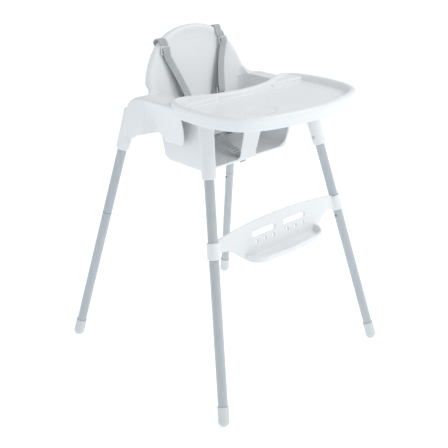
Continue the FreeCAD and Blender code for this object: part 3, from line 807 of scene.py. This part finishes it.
def metal(name, colour, low, high, grain):
    # drawn or turned steel with fine marks along it
    paint = Paint(name, Metallic=1.0)
    lines = paint.noise(paint.places((1, 1, 0.08)), 1400.0, 3.0)
    stain = paint.noise(paint.places(), 160.0, 4.0)
    paint.feed("Base Color", paint.mix(paint.span(stain, 0.4, 0.75, 0.0, 0.7), colour,
                                       tuple(c * 0.7 for c in colour[:3]) + (1,)))
    paint.feed("Roughness", paint.span(lines, 0.3, 0.7, low, high))
    paint.bump(lines, grain, 0.0001)
    return paint.material


def wovenStrap(name, light, dark):
    # webbing in a tight herringbone, with two sewn lines near its edges; the UV map is in metres
    paint = Paint(name, Sheen_Weight=0.25, Sheen_Roughness=0.5, IOR=1.45)
    uv = paint.node("ShaderNodeUVMap", {"uv_map": "weave"})
    parts = [paint.node("ShaderNodeSeparateXYZ", {}, {"Vector": uv}, i) for i in range(2)]
    length, width = parts
    ribs = paint.node("ShaderNodeMath", {"operation": "SINE"}, {0: length * 4200.0})
    rows = paint.node("ShaderNodeMath", {"operation": "SINE"}, {0: width * 5200.0})
    chevron = paint.node("ShaderNodeMath", {"operation": "PINGPONG"}, {0: width, 1: 0.0055})
    slanted = paint.node("ShaderNodeMath", {"operation": "SINE"}, {0: (length + chevron * 0.9) * 3100.0})
    thread = paint.span(ribs * rows + slanted * 0.55, -1.4, 1.4, 0.0, 1.0)
    fuzz = paint.noise(paint.places(), 1500.0, 3.0)
    edge = paint.node("ShaderNodeMath", {"operation": "ABSOLUTE"}, {0: width})
    seam = paint.span(edge, 0.0083, 0.0087, 0.0, 1.0) * paint.span(edge, 0.0091, 0.0095, 1.0, 0.0)
    dash = paint.span(paint.node("ShaderNodeMath", {"operation": "SINE"}, {0: length * 2000.0}), -0.5, -0.2, 0.0, 1.0)
    stitch = seam * dash
    soil = paint.noise(paint.places(), 26.0, 4.0)
    base = paint.mix(thread * 0.55 + paint.span(soil, 0.4, 0.7, 0.0, 0.4), light, dark)
    paint.feed("Base Color", paint.mix(stitch * 0.7, base, (0.62, 0.64, 0.64, 1)))
    paint.feed("Roughness", paint.span(fuzz, 0.3, 0.7, 0.72, 0.9))
    paint.bump(thread * -0.8 + fuzz * 0.2 + stitch * 0.7, 0.5, 0.0004)
    return paint.material


finishes = {
    "seat_plastic": mouldedPlastic("seat_white", (0.83, 0.84, 0.845, 1), (0.80, 0.812, 0.82, 1), 0.30, 0.40, 0.22,
                                   coat=0.15),
    "tray_plastic": mouldedPlastic("tray_white", (0.85, 0.86, 0.865, 1), (0.83, 0.84, 0.846, 1), 0.24, 0.32, 0.05,
                                   scuffs=0.15, coat=0.2),
    "footrest_plastic": mouldedPlastic("footrest_white", (0.83, 0.84, 0.845, 1), (0.80, 0.812, 0.82, 1), 0.32, 0.42,
                                       0.25, scuffs=0.7),
    "foot_plastic": mouldedPlastic("foot_white", (0.70, 0.72, 0.73, 1), (0.62, 0.645, 0.66, 1), 0.42, 0.55, 0.35,
                                   scuffs=1.0),
    "harness_plastic": mouldedPlastic("harness_white", (0.74, 0.755, 0.765, 1), (0.70, 0.715, 0.725, 1),
                                      0.30, 0.40, 0.2),
    "release_plastic": mouldedPlastic("release_grey", (0.52, 0.55, 0.58, 1), (0.45, 0.48, 0.52, 1), 0.34, 0.44, 0.2),
    "leg_paint": powderPaint("leg_paint", (0.49, 0.525, 0.545, 1), (0.43, 0.465, 0.49, 1)),
    "button_steel": metal("button_steel", (0.30, 0.31, 0.33, 1), 0.30, 0.45, 0.2),
    "spring_steel": metal("spring_steel", (0.42, 0.42, 0.43, 1), 0.28, 0.40, 0.2),
    "screw_steel": metal("screw_steel", (0.56, 0.57, 0.59, 1), 0.25, 0.38, 0.2),
    "webbing": wovenStrap("strap_weave", (0.50, 0.52, 0.52, 1), (0.36, 0.38, 0.39, 1)),
}


def coat(piece, finish):
    piece.data.materials.clear()
    piece.data.materials.append(finish)


coat(seat, finishes["seat_plastic"])
coat(tray, finishes["tray_plastic"])
coat(footrest, finishes["footrest_plastic"])
for piece in straps:
    coat(piece, finishes["webbing"])
for piece in sliders:
    coat(piece, finishes["harness_plastic"])

nodeFinishes = {"leg_upper": "leg_paint", "leg_lower": "leg_paint", "leg_foot": "foot_plastic",
                "snap_button": "button_steel", "snap_spring": "spring_steel", "socket_screw": "screw_steel",
                "buckle_body": "harness_plastic", "buckle_tongue": "harness_plastic",
                "buckle_button": "release_plastic"}
for nodeName, node in nodes.items():
    for start, slotName in nodeFinishes.items():
        if nodeName.startswith(start):
            for spot in node.material_slots:
                spot.material = finishes[slotName]
print("finishes given")


# floor and light
floorSettings = {"size": 30.0, "colour": (0.93, 0.955, 0.98, 1), "glow": 0.36}
bm = bmesh.new()
bmesh.ops.create_grid(bm, x_segments=2, y_segments=2, size=floorSettings["size"] / 2)
floor = finishPiece(bm, "floor")
floor.location = (0, 0, -0.0005)
floorPaint = Paint("pale_floor", Roughness=0.75, Emission_Color=(0.93, 0.97, 1.0, 1),
                   Emission_Strength=floorSettings["glow"], Specular_IOR_Level=0.25)
floorCloud = floorPaint.span(floorPaint.noise(floorPaint.places(), 3.0), 0.3, 0.7, 0, 1)
floorPaint.feed("Base Color", floorPaint.mix(floorCloud, floorSettings["colour"], (0.92, 0.948, 0.975, 1)))
coat(floor, floorPaint.material)

world = bpy.data.worlds.new("studio")
scene.world = world
world.use_nodes = True
world.node_tree.nodes["Background"].inputs["Color"].default_value = (0.955, 0.98, 1.0, 1)
world.node_tree.nodes["Background"].inputs["Strength"].default_value = 0.76


def softBox(name, place, target, size, power, colour):
    data = bpy.data.lights.new(name, "AREA")
    data.shape = "RECTANGLE"
    data.size, data.size_y = size
    data.energy = power
    data.color = colour
    lamp = bpy.data.objects.new(name, data)
    lamp.location = place
    lamp.rotation_euler = (Vector(target) - Vector(place)).to_track_quat("-Z", "Y").to_euler()
    scene.collection.objects.link(lamp)
    return lamp


softBox("lamp_key", (1.6, -2.0, 2.6), (0, 0, 0.6), (1.8, 1.8), 30, (1.0, 0.995, 0.98))

scene.view_settings.view_transform = "Standard"
